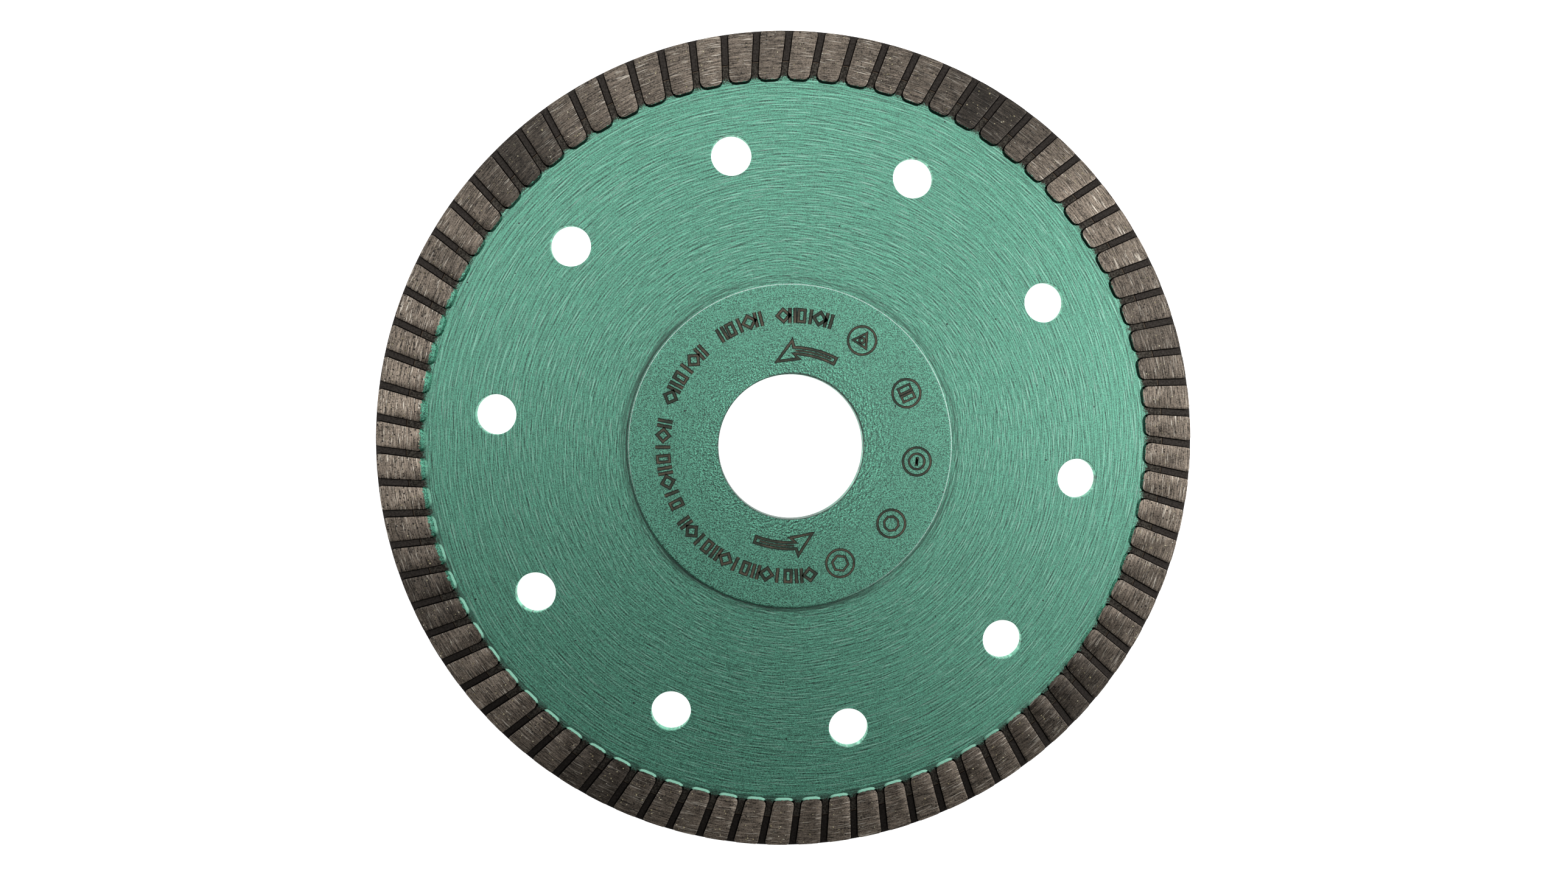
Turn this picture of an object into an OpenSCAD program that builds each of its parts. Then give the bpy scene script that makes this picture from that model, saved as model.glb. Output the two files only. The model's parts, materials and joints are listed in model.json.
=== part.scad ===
// Turbo-rim diamond blade for a hand grinder.
// It lies flat: the bore's axis is Z, the marked face looks along +Z, and the origin is the
// centre of the bore on the middle plane of the steel core.

/* [Blade] */
// Outer diameter of the blade
blade_d = 125; // [115:1:150]
// Diameter of the arbor bore
bore_d = 22.23; // [20:0.01:25.4]

/* [Steel core] */
// Thickness of the core
core_t = 1.2; // [1:0.1:1.6]
// Width of the band of rim outside the core's edge
core_inset = 4.5; // [3.5:0.1:5.5]
// Number of cooling holes
vent_count = 10; // [6:1:12]
// Diameter of each cooling hole
vent_d = 6.1; // [4:0.1:8]
// Diameter of the circle that the cooling holes lie on
vent_pcd = 89.8; // [72:0.1:90]
// Angle of the first cooling hole from +X
vent_start = 101.7; // [0:0.1:360]

/* [Hub plates] */
// Diameter of the two reinforcing plates
hub_d = 49.6; // [46:0.1:54]
// Thickness of each reinforcing plate
hub_t = 0.5; // [0.4:0.05:1]
// Bevel round each plate's outer edge
hub_bevel = 0.12; // [0.05:0.01:0.2]
// Number of spot welds on each plate
weld_count = 6; // [4:1:8]
// Diameter of each weld nugget
weld_d = 3.2; // [2.5:0.1:4]
// Diameter of the circle that the spot welds lie on
weld_pcd = 36; // [34:0.5:38]

/* [Turbo rim] */
// Radial height of the ribs, measured at their foot
rib_h = 7.55; // [7:0.05:9]
// How far the ribs stand above each face of the core
rib_rise = 0.3; // [0.2:0.05:0.5]
// How far the web's face lies below the core's face
web_drop = 0.05; // [0.02:0.01:0.1]
// Number of ribs on each face
rib_count = 80; // [60:1:90]
// Width of the straight groove between two ribs
groove_w = 1.1; // [0.8:0.05:1.4]
// Slant of the grooves from the radial direction
groove_slant = 8.2; // [0:0.1:12]
// Angle of the first groove's middle from +X
groove_start = 0.81; // [0:0.01:4.5]
// Corner radius at the ribs' inner ends
rib_inner_r = 0.9; // [0.5:0.05:0.95]
// Corner radius at the ribs' outer ends
rib_outer_r = 0.45; // [0.2:0.05:0.6]
// Radial length of the slope at the ribs' inner ends
rib_slope = 0.32; // [0.1:0.01:0.4]
// Bevel round the rim's two outer edges
rim_bevel = 0.1; // [0.05:0.01:0.15]

/* [Diamond grit] */
// Width of a crystal across its corners
grit_d = 0.5; // [0.3:0.05:0.6]
// How far a crystal stands proud of the ribs
grit_proud = 0.05; // [0.02:0.01:0.08]

/* [Hidden] */

blade_r = blade_d / 2;
core_r = blade_r - core_inset;
foot_r = blade_r - rib_h;
groove_mid_r = (blade_r + foot_r) / 2;
core_z = core_t / 2;
hub_z = core_z + hub_t;
rib_z = core_z + rib_rise;
web_z = core_z - web_drop;
pitch = 360 / rib_count;
corner_steps = 4;
corner_overrun = 0.02;
past = 1;
weld_depth = 0.25;
grit_h = 0.8 * grit_d;

// Places of the crystals follow two golden-ratio steps, so that they look scattered.
radial_step = 0.618034;
across_step = 0.754878;
grit_margin = 1.2;
grit_side_room = 2;
grit_tilt = 35;

// A ring of n children round the bore, the first at angle start.
module ring_of(n, radius, start = 0) {
    for (i = [0 : n - 1])
        rotate(start + i * 360 / n) translate([radius, 0]) children();
}

// Its children on the front, and mirrored on the back with an optional turn.
module both_faces(stagger = 0) {
    children();
    rotate(stagger) mirror([0, 0, 1]) children();
}

// A plain through bore of the arbor's size.
module arbor_bore() {
    cylinder(h = 2 * hub_z + 2 * past, d = bore_d, center = true, $fn = 128);
}

// The weld nuggets of the front plate, half in the plate and half in the core.
module front_welds() {
    ring_of(weld_count, weld_pcd / 2)
        translate([0, 0, core_z - weld_depth]) cylinder(h = 2 * weld_depth, d = weld_d, $fn = 32);
}

// The flat steel disc: bore, cooling holes, and pockets where the weld nuggets have melted in.
module steel_core() {
    color([0.33, 0.56, 0.47])
    difference() {
        cylinder(h = core_t, r = core_r, center = true, $fn = 256);
        arbor_bore();
        ring_of(vent_count, vent_pcd / 2, vent_start)
            cylinder(h = core_t + 2 * past, d = vent_d, center = true, $fn = 64);
        both_faces() front_welds();
    }
}

// One reinforcing plate, with its outer edge bevelled, on the front face.
module hub_plate() {
    color([0.36, 0.60, 0.51])
    difference() {
        union() {
            translate([0, 0, core_z]) cylinder(h = hub_t - hub_bevel, d = hub_d, $fn = 160);
            translate([0, 0, hub_z - hub_bevel])
                cylinder(h = hub_bevel, d1 = hub_d, d2 = hub_d - 2 * hub_bevel, $fn = 160);
        }
        arbor_bore();
        front_welds();
    }
}

module front_hub_plate() {
    hub_plate();
}

module rear_hub_plate() {
    mirror([0, 0, 1]) hub_plate();
}

// The fused spots between each plate and the core.
module hub_weld_nuggets() {
    color([0.55, 0.55, 0.57]) both_faces() front_welds();
}

// Half of the rim's section, on the +X side: it straddles the core's edge and grips both faces.
module rim_section() {
    polygon([
        [core_r, -core_z], [core_r, core_z], [foot_r, core_z], [foot_r + rib_slope, rib_z],
        [blade_r - rim_bevel, rib_z], [blade_r, rib_z - rim_bevel],
        [blade_r, rim_bevel - rib_z], [blade_r - rim_bevel, -rib_z],
        [foot_r + rib_slope, -rib_z], [foot_r, -core_z]
    ]);
}

// The bore's centre as a groove sees it: x runs outwards along the groove, from its middle.
groove_bore = -groove_mid_r * [cos(groove_slant), sin(groove_slant)];

// How far along a groove a point v to one side of it reaches the given radius round the bore.
function reach(radius, v) = groove_bore.x + sqrt(radius ^ 2 - (v - groove_bore.y) ^ 2);

function turned(v, angle) = [v.x * cos(angle) - v.y * sin(angle), v.x * sin(angle) + v.y * cos(angle)];
function reversed(list) = [for (i = [len(list) - 1 : -1 : 0]) list[i]];

// One rib corner beside a groove: an arc of radius r from the groove's wall to the circle of radius
// end_r round the bore, then a point past that circle. inward is 1 at the ribs' inner ends and -1 at
// their outer ends, and side is the groove's side. The circles lie corner_overrun outside the ribs'
// ends, so that no arc only grazes the ring's edge.
function rib_corner(end_r, r, inward, side) =
    let (
        v = side * (groove_w / 2 + r),
        centre = [reach(end_r + inward * r, v), v],
        away = (centre - groove_bore) / (end_r + inward * r),
        to_wall = [0, -side],
        to_end = -inward * away,
        turn = atan2(to_wall.x * to_end.y - to_wall.y * to_end.x, to_wall * to_end)
    )
    [
        for (i = [0 : corner_steps]) centre + r * turned(to_wall, turn * i / corner_steps),
        groove_bore + away * (end_r - inward * past)
    ];

// The plan of one groove at angle 0: straight and slanted, widening round the ribs' corners.
module groove_plan() {
    translate([groove_mid_r, 0]) rotate(-groove_slant)
        polygon([
            each reversed(rib_corner(foot_r - corner_overrun, rib_inner_r, 1, 1)),
            each rib_corner(blade_r + corner_overrun, rib_outer_r, -1, 1),
            each reversed(rib_corner(blade_r + corner_overrun, rib_outer_r, -1, -1)),
            each rib_corner(foot_r - corner_overrun, rib_inner_r, 1, -1)
        ]);
}

// All the grooves of the front face, down to the web.
module front_grooves() {
    for (i = [0 : rib_count - 1])
        rotate(groove_start + i * pitch)
            translate([0, 0, web_z]) linear_extrude(rib_z - web_z + past) groove_plan();
}

// One crystal, a blocky six-sided grain, tilted its own way.
module crystal(turn) {
    rotate([grit_tilt * cos(turn), grit_tilt * sin(turn), turn])
        cylinder(h = grit_h, d = grit_d, center = true, $fn = 6);
}

// One crystal in each rib of the front face, scattered along and across the ribs.
module front_grit() {
    for (i = [0 : rib_count - 1]) {
        along = (i * radial_step) % 1;
        across = (i * across_step) % 1 - 0.5;
        radius = foot_r + grit_margin + along * (blade_r - foot_r - 2 * grit_margin);
        slant_shift = (groove_mid_r - radius) * tan(groove_slant);
        rotate(groove_start + (i + 0.5) * pitch)
            translate([radius, slant_shift + across * grit_side_room,
                       rib_z + grit_proud - grit_d / 2])
                crystal(i * 360 * across_step);
    }
}

// The sintered ring: its section turned round the axis, less the grooves and the crystals' seats.
module turbo_rim() {
    color([0.38, 0.34, 0.30])
    difference() {
        rotate_extrude($fn = 320) rim_section();
        both_faces(pitch / 2) front_grooves();
        diamond_grains();
    }
}

// The crystals of both faces.
module diamond_grains() {
    both_faces(pitch / 2) front_grit();
}

module diamond_grit() {
    color([0.75, 0.72, 0.5]) diamond_grains();
}

steel_core();
front_hub_plate();
rear_hub_plate();
hub_weld_nuggets();
turbo_rim();
diamond_grit();
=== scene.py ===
"""Looks of a turbo-rim diamond blade that lies flat on a white table, marked face up.

Lengths are in millimetres up to the moment a mesh is made. Angles run anticlockwise from +X.
"""

import json
from math import cos, radians, sin

import bpy
import numpy as np
from mathutils import Matrix, Vector


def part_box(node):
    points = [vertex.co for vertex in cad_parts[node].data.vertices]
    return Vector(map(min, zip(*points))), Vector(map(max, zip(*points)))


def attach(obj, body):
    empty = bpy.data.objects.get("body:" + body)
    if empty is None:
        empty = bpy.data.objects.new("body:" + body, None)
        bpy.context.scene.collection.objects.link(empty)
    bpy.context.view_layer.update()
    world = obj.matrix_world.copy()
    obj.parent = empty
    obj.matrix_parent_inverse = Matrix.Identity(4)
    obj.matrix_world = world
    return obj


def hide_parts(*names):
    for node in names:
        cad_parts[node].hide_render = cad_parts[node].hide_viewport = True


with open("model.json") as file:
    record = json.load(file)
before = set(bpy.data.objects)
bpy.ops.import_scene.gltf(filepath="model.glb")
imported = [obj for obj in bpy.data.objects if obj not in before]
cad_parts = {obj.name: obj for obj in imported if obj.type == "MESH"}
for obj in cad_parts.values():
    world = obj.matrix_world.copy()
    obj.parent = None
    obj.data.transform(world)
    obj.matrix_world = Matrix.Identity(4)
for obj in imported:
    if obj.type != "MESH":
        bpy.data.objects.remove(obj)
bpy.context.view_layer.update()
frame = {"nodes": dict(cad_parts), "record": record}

# ---------------------------------------------------------------- sizes from the frame

MM = 0.001


def reach(node):
    """How far a CAD node reaches from the bore's centre along X and along Z."""
    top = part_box(node)[1]
    return round(top.x / MM, 2), round(top.z / MM, 2)


BLADE_R, RIB_Z = reach("turbo_rim")
CORE_R, CORE_Z = reach("steel_core")
HUB_R, HUB_Z = reach("front_hub_plate")
BORE_R = next(m["dims"]["r_mm"] for m in frame["record"]["mounts"] if m["name"] == "arbor_bore")

# ---------------------------------------------------------------- sizes the frame doesn't state

VENTS = 10
VENT_R = 3.05
VENT_RING_R = 44.9
VENT_START = 101.7
VENT_LIP = 0.08
SECTOR_IN, SECTOR_OUT = 38.0, 52.0  # the rings between which each hole has its own patch of mesh

RIBS = 80
PITCH = 360 / RIBS
RIB_H = 7.55
FOOT_R = BLADE_R - RIB_H
GROOVE_MID_R = (BLADE_R + FOOT_R) / 2
GROOVE_W = 1.1
GROOVE_SLANT = radians(8.2)
GROOVE_START = 0.81
INNER_CORNER = 0.9
OUTER_CORNER = 0.45
SLOPE_PER_RISE = 0.32 / 0.3
WEB_Z = CORE_Z - 0.05

HUB_BEVEL = 0.12
MARK_PROUD = 0.01
TABLE_GAP = 0.02


# ---------------------------------------------------------------- meshes

def grid_quads(rows, cols, wrap_rows=False):
    """Quads of a grid of points whose columns close on themselves, row i to i+1, column j to j+1."""
    i = np.arange(rows if wrap_rows else rows - 1)[:, None]
    j = np.arange(cols)[None, :]
    down, right = (i + 1) % rows, (j + 1) % cols
    corners = (i * cols + j, down * cols + j, down * cols + right, i * cols + right)
    return np.stack([np.broadcast_to(c, (len(i), cols)) for c in corners], -1).reshape(-1, 4)


def joined(parts):
    """Several (points, [face arrays]) as one, with the face numbers moved up."""
    points, faces, base = [], [], 0
    for more, groups in parts:
        faces += [g + base for g in groups]
        points.append(more)
        base += len(more)
    return np.concatenate(points), faces


def welded(points, faces):
    """The same faces with points that lie within a hundred-thousandth of a millimetre made one."""
    kept, number = np.unique(np.round(points, 5), axis=0, return_inverse=True)
    return kept, [number.reshape(-1)[g] for g in faces]


def mirrored(points, faces):
    """The mirror image in the middle plane, with its faces turned to point outwards again."""
    return points * (1, 1, -1), [g[:, ::-1] for g in faces]


def turned(points, degrees):
    """Points turned about the bore's axis."""
    a = np.radians(degrees)
    x, y = points[..., 0], points[..., 1]
    out = np.array(points, float)
    out[..., 0], out[..., 1] = x * np.cos(a) - y * np.sin(a), x * np.sin(a) + y * np.cos(a)
    return out


def polar(radius, degrees):
    """Plane points from radius and angle."""
    a = np.radians(degrees)
    return np.stack(np.broadcast_arrays(radius * np.cos(a), radius * np.sin(a)), -1)


def piece(name, points, faces, material, smooth_under=35, **attributes):
    """One object from points in millimetres and arrays of faces, with point attributes."""
    mesh = bpy.data.meshes.new(name)
    sizes = np.concatenate([np.full(len(g), g.shape[1]) for g in faces])
    corners = np.concatenate([g.reshape(-1) for g in faces])
    mesh.vertices.add(len(points))
    mesh.vertices.foreach_set("co", (points * MM).astype(np.float32).reshape(-1))
    mesh.loops.add(len(corners))
    mesh.loops.foreach_set("vertex_index", corners.astype(np.int32))
    mesh.polygons.add(len(sizes))
    mesh.polygons.foreach_set("loop_start", (np.cumsum(sizes) - sizes).astype(np.int32))
    mesh.update(calc_edges=True)
    mesh.validate()
    for key, values in attributes.items():
        kind, slot = ("FLOAT", "value") if values.ndim == 1 else ("FLOAT_VECTOR", "vector")
        layer = mesh.attributes.new(key, kind, "POINT")
        layer.data.foreach_set(slot, values.astype(np.float32).reshape(-1))
    mesh.polygons.foreach_set("use_smooth", np.full(len(sizes), smooth_under > 0))
    if smooth_under > 0:
        mesh.set_sharp_from_angle(angle=radians(smooth_under))
    mesh.materials.append(material)
    made = bpy.data.objects.new(name, mesh)
    bpy.context.scene.collection.objects.link(made)
    return made


def lathe(profile, steps):
    """A closed profile of (radius, height) turned round the bore's axis.

    The profile runs clockwise with radius to the right: up the bore, out, down the rim and back.
    """
    profile = np.array(profile, float)
    angle = np.arange(steps) * 360 / steps
    flat = polar(profile[:, :1], angle[None, :])
    height = np.broadcast_to(profile[:, 1:2], flat.shape[:2])[..., None]
    return np.concatenate([flat, height], -1).reshape(-1, 3), [grid_quads(len(profile), steps, True)]


def fillet(centre, radius, start, end, steps=4):
    """Points of an arc round centre in a (radius, height) section, from angle start to end."""
    return [tuple(p) for p in np.array(centre) + polar(radius, np.linspace(start, end, steps + 1))]


# ---------------------------------------------------------------- shapes

def core_shape():
    """The steel disc: bore, edge and ten rounded cooling holes.

    Each hole's sector is a straight blend from the rounded hole edge to a polar rectangle, and the
    bands inside and outside the holes are plain polar grids. The lower half mirrors the upper.
    """
    arc, side = 24, 8
    half = 180 / VENTS
    edge_round = 0.03
    ring_shares = (0.01, 0.1, 0.25, 0.45, 0.7, 1.0)
    inner_rings = (BORE_R, 18, HUB_R, HUB_R + 1.5, 31, SECTOR_IN)
    outer_rings = (SECTOR_OUT, FOOT_R, 56.5, CORE_R - 2 * edge_round)

    across = np.linspace(-half, half, arc, endpoint=False)
    out = np.linspace(SECTOR_IN, SECTOR_OUT, side, endpoint=False)
    border = np.concatenate([
        polar(out, -half),
        polar(SECTOR_OUT, across),
        polar(SECTOR_IN + SECTOR_OUT - out, half),
        polar(SECTOR_IN, -across),
    ])
    centre = np.array([VENT_RING_R, 0])
    away = border - centre
    away /= np.linalg.norm(away, axis=1, keepdims=True)
    lip = fillet((VENT_R + VENT_LIP, CORE_Z - VENT_LIP), VENT_LIP, 180, 90, 3)
    rows = [np.c_[centre + away * VENT_R, 0 * away[:, :1]]]
    rows += [np.c_[centre + away * r, z + 0 * away[:, :1]] for r, z in lip]
    edge = centre + away * (VENT_R + VENT_LIP)
    for share in ring_shares:
        rows.append(np.c_[edge + (border - edge) * share, CORE_Z + 0 * away[:, :1]])
    sector = np.concatenate(rows)
    quads = grid_quads(len(rows), len(border))

    def band(profile):
        """A polar grid from a profile of (radius, height), with its columns in line with the holes'."""
        profile = np.array(profile)
        angle = VENT_START - half + np.arange(arc * VENTS) * 360 / (arc * VENTS)
        flat = polar(profile[:, :1], angle[None, :])
        height = np.broadcast_to(profile[:, 1:2], flat.shape[:2])[..., None]
        return np.concatenate([flat, height], -1).reshape(-1, 3), [grid_quads(*flat.shape[:2])]

    rim = fillet((CORE_R - edge_round, CORE_Z - edge_round), edge_round, 90, 0, 2)
    upper = [(turned(sector, VENT_START + k * 360 / VENTS), [quads]) for k in range(VENTS)]
    upper.append(band([(BORE_R, 0), *((r, CORE_Z) for r in inner_rings)]))
    upper.append(band([*((r, CORE_Z) for r in outer_rings), *rim, (CORE_R, 0)]))
    upper = welded(*joined(upper))
    return welded(*joined([upper, mirrored(*upper)]))


def hub_shape():
    """One hub plate: rounded bore edge, flat top, rounded rim and a paint fillet at its foot."""
    bore_round, paint_foot = 0.06, 0.16
    flat_rings = (BORE_R + 0.2, 18, HUB_R - 0.4)
    top = HUB_Z - MARK_PROUD
    foot = [(HUB_R + paint_foot * (1 - sin(t)), CORE_Z + paint_foot * (1 - cos(t)))
            for t in np.radians([90, 68, 45, 22, 0])]
    return lathe([
        (BORE_R, CORE_Z),
        *fillet((BORE_R + bore_round, top - bore_round), bore_round, 180, 90),
        *((r, top) for r in flat_rings),
        *fillet((HUB_R - HUB_BEVEL, top - HUB_BEVEL), HUB_BEVEL, 90, 0),
        *foot,
    ], 256)


def corner(end_r, radius, inward, side, grow):
    """One rib corner beside the groove at angle 0, from the groove's wall to the rib's end.

    The arc's centre lies radius away from the groove's wall and from the circle of radius end_r.
    grow moves the outline outwards. It is an arc about the same centre, with a bigger radius.
    """
    bore = -GROOVE_MID_R * np.array([cos(GROOVE_SLANT), sin(GROOVE_SLANT)])
    v = side * (GROOVE_W / 2 + radius)
    reach_r = end_r + inward * radius
    centre = np.array([bore[0] + np.sqrt(reach_r**2 - (v - bore[1]) ** 2), v])
    end = -inward * (centre - bore) / reach_r
    first, last = np.arctan2(-side, 0.0), np.arctan2(end[1], end[0])
    last = first + (last - first + np.pi) % (2 * np.pi) - np.pi
    arc = centre + polar(radius + grow, np.degrees(np.linspace(first, last, 4)))
    back = turned(np.c_[arc, np.zeros(len(arc))], -np.degrees(GROOVE_SLANT))[:, :2]
    return back + np.array([GROOVE_MID_R, 0])


def rib_outline(grow, inner_r, outer_r):
    """A rib's outline, clockwise, between the groove at angle 0 and the next one.

    grow moves the side walls outwards. The rounded ends lie at inner_r and outer_r.
    """
    near_in = corner(inner_r + grow, INNER_CORNER, 1, 1, grow)
    near_out = corner(outer_r - grow, OUTER_CORNER, -1, 1, grow)
    far_in = turned(corner(inner_r + grow, INNER_CORNER, 1, -1, grow), PITCH)
    far_out = turned(corner(outer_r - grow, OUTER_CORNER, -1, -1, grow), PITCH)

    def end_arc(a, b):
        """Points between two corners on the ring that both touch."""
        at = np.degrees(np.arctan2([a[1], b[1]], [a[0], b[0]]))
        r = (np.hypot(*a) + np.hypot(*b)) / 2
        return polar(r, np.linspace(*at, 4)[1:-1])

    loop = np.concatenate([
        near_in[::-1], near_out, end_arc(near_out[-1], far_out[-1]), far_out[::-1],
        far_in, end_arc(far_in[-1], near_in[-1]),
    ])[::-1]
    r = np.hypot(loop[:, 0], loop[:, 1])
    return loop * (np.minimum(r, BLADE_R) / r)[:, None]


def rib_shape():
    """One closed rib: outlines stacked from the web's face to the ground top, then a flat cap.

    The inner end climbs outwards by SLOPE_PER_RISE for each millimetre of height, and the outer
    end leans in a little, so that the web's ring shows past it.
    """
    levels = [  # height, how far the walls stand out, how far the outer end leans in
        (WEB_Z, 0.13, 0.0),
        (RIB_Z - 0.10, 0.05, 0.1),
        (RIB_Z - 0.03, 0.0, 0.13),
        (RIB_Z, -0.05, 0.17),
    ]
    rings = []
    for z, grow, lean in levels:
        loop = rib_outline(grow, FOOT_R + SLOPE_PER_RISE * (z - CORE_Z), BLADE_R - lean)
        rings.append(np.c_[loop, np.full(len(loop), z)])
    count = len(rings[0])
    top = np.arange(count)[::-1][None, :] + (len(rings) - 1) * count
    bottom = np.arange(count)[None, :]
    return np.concatenate(rings), [grid_quads(len(rings), count), top, bottom]


def painted_rib_sheen(degrees):
    """Painted sheen of a rib round the rim, about 1: product of 1 + more * exp(-(distance / width)^2).

    The arcs are the angle, width and strength of each stretch where the ribs are painted brighter or
    duller.
    """
    arcs = ((19, 8, -0.28), (38, 8, 0.48), (60, 9, -0.78), (132, 8, -0.64), (176, 13, 0.85),
            (203, 9, -0.45), (240, 11, -0.62), (270, 30, 0.12), (318, 12, -0.48), (356, 16, 0.5))
    share = 1.0
    for at, width, more in arcs:
        away = (degrees - at + 180) % 360 - 180
        share *= 1 + more * np.exp(-(away / width) ** 2)
    return share


def rim_shape(rng):
    """The web's ring with eighty ribs on each face, those behind half a pitch further round.

    Also returns each point's rib tone: the painted sheen at that rib, times a random share of its own.
    """
    seam, round_off = 0.06, 0.02
    web_tone, least, most = 0.5, 0.88, 1.12
    half = [(CORE_R, 0), (CORE_R, WEB_Z - seam), (CORE_R + seam, WEB_Z),
            (BLADE_R - round_off, WEB_Z), (BLADE_R, WEB_Z - round_off)]
    ring = lathe(half + [(r, -z) for r, z in half[:0:-1]], 640)
    points, faces = rib_shape()
    parts, tones = [ring], [np.full(len(ring[0]), web_tone)]
    for k in range(RIBS):
        front, rear = GROOVE_START + k * PITCH, GROOVE_START + (k + 0.5) * PITCH
        parts += [(turned(points, front), faces), mirrored(turned(points, rear), faces)]
        for start in (front, rear):
            tone = painted_rib_sheen(start + PITCH / 2) * rng.uniform(least, most)
            tones.append(np.full(len(points), tone))
    return joined(parts), np.concatenate(tones)


def grit_shape(rng, count):
    """Blocky crystals, cube-octahedra turned at random, sunk in the ribs' ground tops.

    Radii are spread evenly over the ribs' height, and crystals over a groove are left out.
    """
    foot_margin, edge_margin, wall_margin = 0.9, 0.35, 0.35
    corners = np.array([(x, y, 0) for x in (-1, 1) for y in (-1, 1)]
                       + [(x, 0, z) for x in (-1, 1) for z in (-1, 1)]
                       + [(0, y, z) for y in (-1, 1) for z in (-1, 1)]) / np.sqrt(2)
    squares, triangles = cuboctahedron_faces(corners)
    radius = rng.uniform(FOOT_R + foot_margin, BLADE_R - edge_margin, count)
    angle = rng.uniform(0, 360, count)
    front = rng.random(count) < 0.5
    size = rng.uniform(0.09, 0.17, count)
    lag = np.degrees((GROOVE_MID_R - radius) * np.tan(GROOVE_SLANT) / radius)
    start = GROOVE_START + lag + np.where(front, 0, PITCH / 2)
    from_groove = (angle - start + PITCH / 2) % PITCH - PITCH / 2
    kept = np.abs(np.radians(from_groove)) * radius > GROOVE_W / 2 + wall_margin
    radius, angle, front, size = radius[kept], angle[kept], front[kept], size[kept]
    n = len(radius)
    turn = np.linalg.qr(rng.normal(size=(n, 3, 3)))[0]
    turn[:, :, 0] *= np.sign(np.linalg.det(turn))[:, None]
    stretch = rng.uniform(0.8, 1.2, (n, 1, 3))
    shapes = np.einsum("nij,nkj->nki", turn, corners[None] * stretch * size[:, None, None])
    centre = np.c_[polar(radius, angle), RIB_Z - size * rng.uniform(0.45, 0.75, n)]
    shapes = shapes + centre[:, None, :]
    shapes[~front, :, 2] *= -1
    offset = np.arange(n)[:, None, None] * len(corners)
    groups = []
    for g in (squares, triangles):
        both = g[None] + offset
        both[~front] = both[~front][:, :, ::-1]
        groups.append(both.reshape(-1, g.shape[1]))
    return shapes.reshape(-1, 3), groups


def cuboctahedron_faces(corners):
    """The six squares and eight triangles on a cube-octahedron's corners, pointing outwards."""
    def face(direction):
        on = np.flatnonzero(corners @ direction > (corners @ direction).max() - 1e-6)
        u = corners[on[0]] - direction * (corners[on[0]] @ direction)
        v = np.cross(direction, u)
        return on[np.argsort(np.arctan2(corners[on] @ v, corners[on] @ u))]

    squares = np.array([face(d) for d in np.concatenate([np.eye(3), -np.eye(3)])])
    signs = [np.array([x, y, z]) / np.sqrt(3) for x in (-1, 1) for y in (-1, 1) for z in (-1, 1)]
    return squares, np.array([face(d) for d in signs])


# ---------------------------------------------------------------- markings

MARK_TALL = 2.3
MARK_STROKE = 0.52
BAR_STROKE = 0.58
ARROW_STROKE = 0.5
SHAFT_STROKE = 0.34
RING_STROKE = 0.4


def ribbon(path, width, closed=True):
    """A thin flat strip of even width along a path, mitred at its points.

    Returns points, faces and the stroke attribute: 0 and 1 at its two edges, and length along it.
    """
    path = np.asarray(path, float)
    ahead = np.roll(path, -1, 0) - path
    if not closed:
        ahead[-1] = ahead[-2]
    ahead /= np.linalg.norm(ahead, axis=1, keepdims=True)
    behind = np.roll(ahead, 1, 0)
    if not closed:
        behind[0] = ahead[0]
    left_a, left_b = ahead[:, ::-1] * (-1, 1), behind[:, ::-1] * (-1, 1)
    mitre = (left_a + left_b) / np.maximum(1 + (left_a * left_b).sum(1), 0.35)[:, None]
    left, right = path + mitre * width / 2, path - mitre * width / 2
    low, high = HUB_Z - 3 * MARK_PROUD, HUB_Z
    ones = np.ones((len(path), 1))
    section = np.stack([np.c_[left, low * ones], np.c_[left, high * ones],
                        np.c_[right, high * ones], np.c_[right, low * ones]], 1)
    faces = [grid_quads(len(path), 4, closed)[:, ::-1]]
    if not closed:
        faces.append(np.array([[3, 2, 1, 0], [4 * len(path) - k for k in (4, 3, 2, 1)]]))
    length = np.r_[0, np.cumsum(np.linalg.norm(np.diff(path, axis=0), axis=1))]
    stroke = np.zeros((len(path), 4, 3))
    stroke[:, 2:, 0] = 1
    stroke[:, :, 1] = length[:, None]
    return section.reshape(-1, 3), faces, stroke.reshape(-1, 3)


def placed(path, radius, degrees):
    """A small drawing's path put on the hub, its own up pointing away from the bore."""
    path = np.asarray(path, float)
    return turned(np.c_[path[:, 1] + radius, -path[:, 0], 0 * path[:, 0]], degrees)[:, :2]


def ring_path(radius, steps=36):
    """A circle about the drawing's centre."""
    return polar(radius, np.arange(steps) * 360 / steps)


def polygon_path(sides, radius, first=90.0):
    """A regular polygon about the drawing's centre."""
    return polar(radius, first + np.arange(sides) * 360 / sides)


def box_path(width, height, centre=(0, 0)):
    """A rectangle about a centre."""
    corners = np.array([(-1, -1), (1, -1), (1, 1), (-1, 1)]) * (width / 2, height / 2)
    return corners + centre


def arrow_path(tail, tip, radius):
    """A curved arrow's outline round the bore: its shaft from angle tail, its point at angle tip."""
    shaft, barb, back_barb, neck = 0.48, 1.5, 1.2, tip - 11
    inner = polar(radius - shaft, np.linspace(tail, neck, 8))
    outer = polar(radius + shaft, np.linspace(neck, tail, 8))
    head = [polar(radius - back_barb, neck - 3.4), polar(radius - barb, tip),
            polar(radius + barb, neck + 1)]
    return np.concatenate([inner, np.array(head), outer])


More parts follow.
